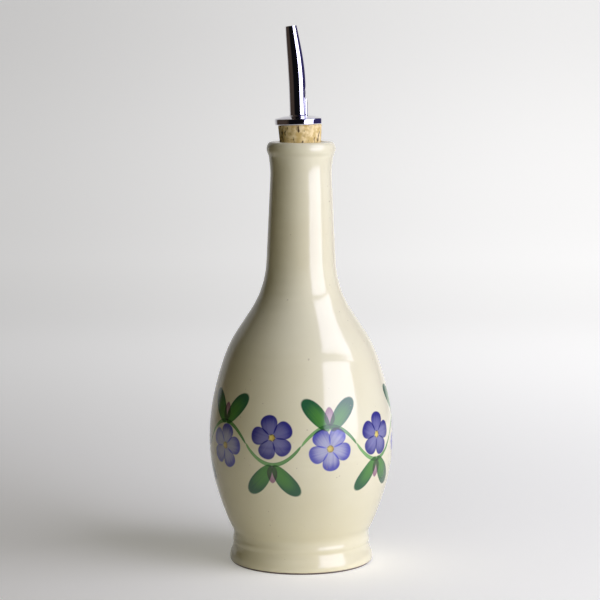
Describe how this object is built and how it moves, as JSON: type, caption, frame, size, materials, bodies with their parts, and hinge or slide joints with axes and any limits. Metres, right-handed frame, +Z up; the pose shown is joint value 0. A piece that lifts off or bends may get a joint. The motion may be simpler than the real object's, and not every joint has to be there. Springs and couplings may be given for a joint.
{
  "type": "drizzle bottle",
  "caption": "Hand-thrown glazed stoneware oil bottle with painted flower sprigs, stopped by a cork that carries a bent chromed pouring spout with a vent tube.",
  "frame": {"origin": "centre of the foot ring, on the surface that the bottle stands on", "axes": "+Z up along the bottle's axis; the painted front faces -Y; the spout bends to -X"},
  "size_m": [0.088, 0.088, 0.2561],
  "materials": {
    "glaze": "clear gloss glaze over cream stoneware, with brush-painted green leaves and violet petals",
    "cork": "natural cork, matte, with pores and dark pits",
    "chrome_collar": "polished chrome plate",
    "chrome_spout": "polished chrome plate",
    "chrome_vent": "polished chrome plate"
  },
  "bodies": {
    "root": {"bottle": "glaze", "cork": "cork", "collar": "chrome_collar", "spout": "chrome_spout", "vent_tube": "chrome_vent"}
  },
  "joints": []
}
